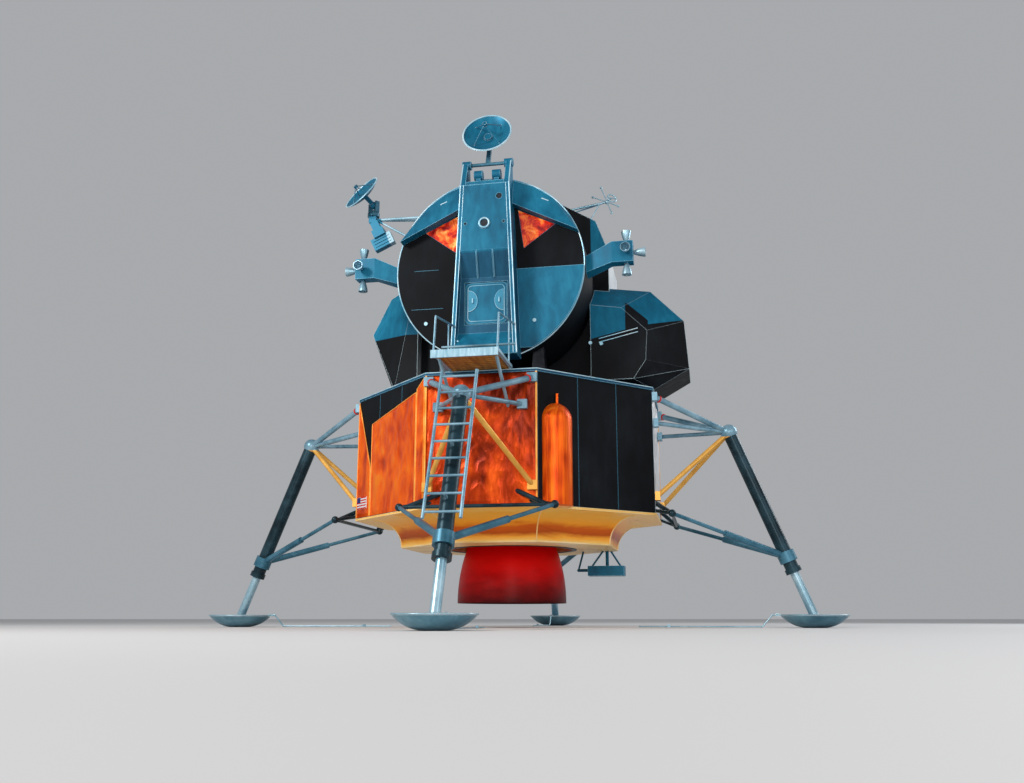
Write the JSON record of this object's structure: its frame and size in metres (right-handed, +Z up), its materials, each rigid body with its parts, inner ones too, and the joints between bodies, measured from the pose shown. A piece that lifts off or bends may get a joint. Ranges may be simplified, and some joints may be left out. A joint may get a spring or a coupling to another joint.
{
  "type": "two-stage lunar lander",
  "caption": "Crewed lunar landing craft: faceted cabin stage with window hoods and dishes on an octagonal foil-covered descent stage with strutted legs, pads and an engine bell.",
  "frame": {"origin": "on the floor, under the middle of the four pads and the engine's axis", "axes": "+Z up, -Y the front with ladder, porch and hatch, +X the right-hand leg seen from the front"},
  "size_m": [9.388, 9.388, 7.1904],
  "materials": {
    "teal_panel": "satin",
    "black_panel": "satin",
    "orange_foil": "crumpled coated foil",
    "gold_foil": "coated foil",
    "pale_plate": "matt heat shield",
    "nozzle_red": "heat coloured",
    "strut_paint": "painted",
    "outrigger_paint": "painted",
    "strut_metal": "satin",
    "pad_metal": "satin",
    "dark_metal": "anodised",
    "bell_metal": "satin",
    "porch_metal": "coated",
    "dish_paint": "satin",
    "window_glass": "clear"
  },
  "bodies": {
    "lander": {"foot_pads": "pad_metal", "strut_pistons": "strut_metal", "strut_cylinders": "strut_paint", "side_struts": "strut_paint", "side_trusses": "strut_paint", "outriggers": "outrigger_paint", "ladder": "strut_metal", "stage_core": "black_panel", "stage_walls": "orange_foil", "foil_sheets": "orange_foil", "stage_deck": "teal_panel", "base_skirt": "gold_foil", "bottom_plate": "pale_plate", "side_canister": "orange_foil", "landing_radar": "teal_panel", "engine_beams": "dark_metal", "cabin_drum": "black_panel", "cabin_face": "black_panel", "window_glass": "window_glass", "window_brows": "teal_panel", "hatch_column": "teal_panel", "hatch_brackets": "dark_metal", "midsection": "teal_panel", "docking_tunnel": "pad_metal", "docking_lugs": "dark_metal", "tank_bulges": "teal_panel", "face_panel": "teal_panel", "rear_bay": "black_panel", "stage_posts": "dark_metal", "thruster_arms": "teal_panel", "thruster_bells": "bell_metal", "porch": "porch_metal", "handrails": "strut_metal", "radar_bracket": "teal_panel", "antenna_boom": "strut_metal", "whip_antenna": "strut_metal"},
    "forward_hatch": {"forward_hatch": "teal_panel"},
    "docking_hatch": {"docking_hatch": "pad_metal"},
    "radar_yoke": {"radar_yoke": "strut_metal"},
    "radar_dish": {"radar_dish": "dish_paint"},
    "antenna_mount": {"antenna_mount": "strut_metal"},
    "antenna_dish": {"antenna_dish": "dish_paint"},
    "gimbal_ring": {"gimbal_ring": "dark_metal"},
    "engine": {"engine": "nozzle_red"},
    "probe_right": {"probe_right": "strut_metal"},
    "probe_rear": {"probe_rear": "strut_metal"},
    "probe_left": {"probe_left": "strut_metal"},
    "probe_front": {"probe_front": "strut_metal"}
  },
  "joints": [
    {"name": "forward_hatch_hinge", "type": "hinge", "parent": "lander", "child": "forward_hatch", "pos_m": [-0.338, -1.818, 4.325], "axis": [0, 0, 1], "range_deg": [0, 85]},
    {"name": "docking_hatch_hinge", "type": "hinge", "parent": "lander", "child": "docking_hatch", "pos_m": [0, 0.648, 6.068], "axis": [1, 0, 0], "range_deg": [0, 85]},
    {"name": "radar_tilt", "type": "hinge", "parent": "lander", "child": "radar_yoke", "pos_m": [0, -1.79, 6.4], "axis": [1, 0, 0], "range_deg": [-40, 60]},
    {"name": "radar_turn", "type": "hinge", "parent": "radar_yoke", "child": "radar_dish", "pos_m": [0, -1.72837, 6.80324], "axis": [0, 0.342, 0.9397], "range_deg": [-45, 45]},
    {"name": "antenna_turn", "type": "hinge", "parent": "lander", "child": "antenna_mount", "pos_m": [-2.2, -0.3, 6.45], "axis": [0, 0, 1], "range_deg": [-80, 70]},
    {"name": "antenna_nod", "type": "hinge", "parent": "antenna_mount", "child": "antenna_dish", "pos_m": [-2.2, -0.3, 6.59], "axis": [-0.7855, 0.6189, 0], "range_deg": [-25, 50]},
    {"name": "gimbal_roll", "type": "hinge", "parent": "lander", "child": "gimbal_ring", "pos_m": [0, 0, 2.15], "axis": [1, 0, 0], "range_deg": [-6, 6]},
    {"name": "gimbal_pitch", "type": "hinge", "parent": "gimbal_ring", "child": "engine", "pos_m": [0, 0, 2.15], "axis": [0, 1, 0], "range_deg": [-6, 6]},
    {"name": "probe_right_hinge", "type": "hinge", "parent": "lander", "child": "probe_right", "pos_m": [3.726, 0, 0.175], "axis": [0, 1, 0], "range_deg": [-90, 68]},
    {"name": "probe_rear_hinge", "type": "hinge", "parent": "lander", "child": "probe_rear", "pos_m": [0, 3.726, 0.175], "axis": [-1, 0, 0], "range_deg": [-90, 68]},
    {"name": "probe_left_hinge", "type": "hinge", "parent": "lander", "child": "probe_left", "pos_m": [-3.726, 0, 0.175], "axis": [0, -1, 0], "range_deg": [-90, 68]},
    {"name": "probe_front_hinge", "type": "hinge", "parent": "lander", "child": "probe_front", "pos_m": [0, -3.726, 0.175], "axis": [1, 0, 0], "range_deg": [-90, 68]}
  ]
}
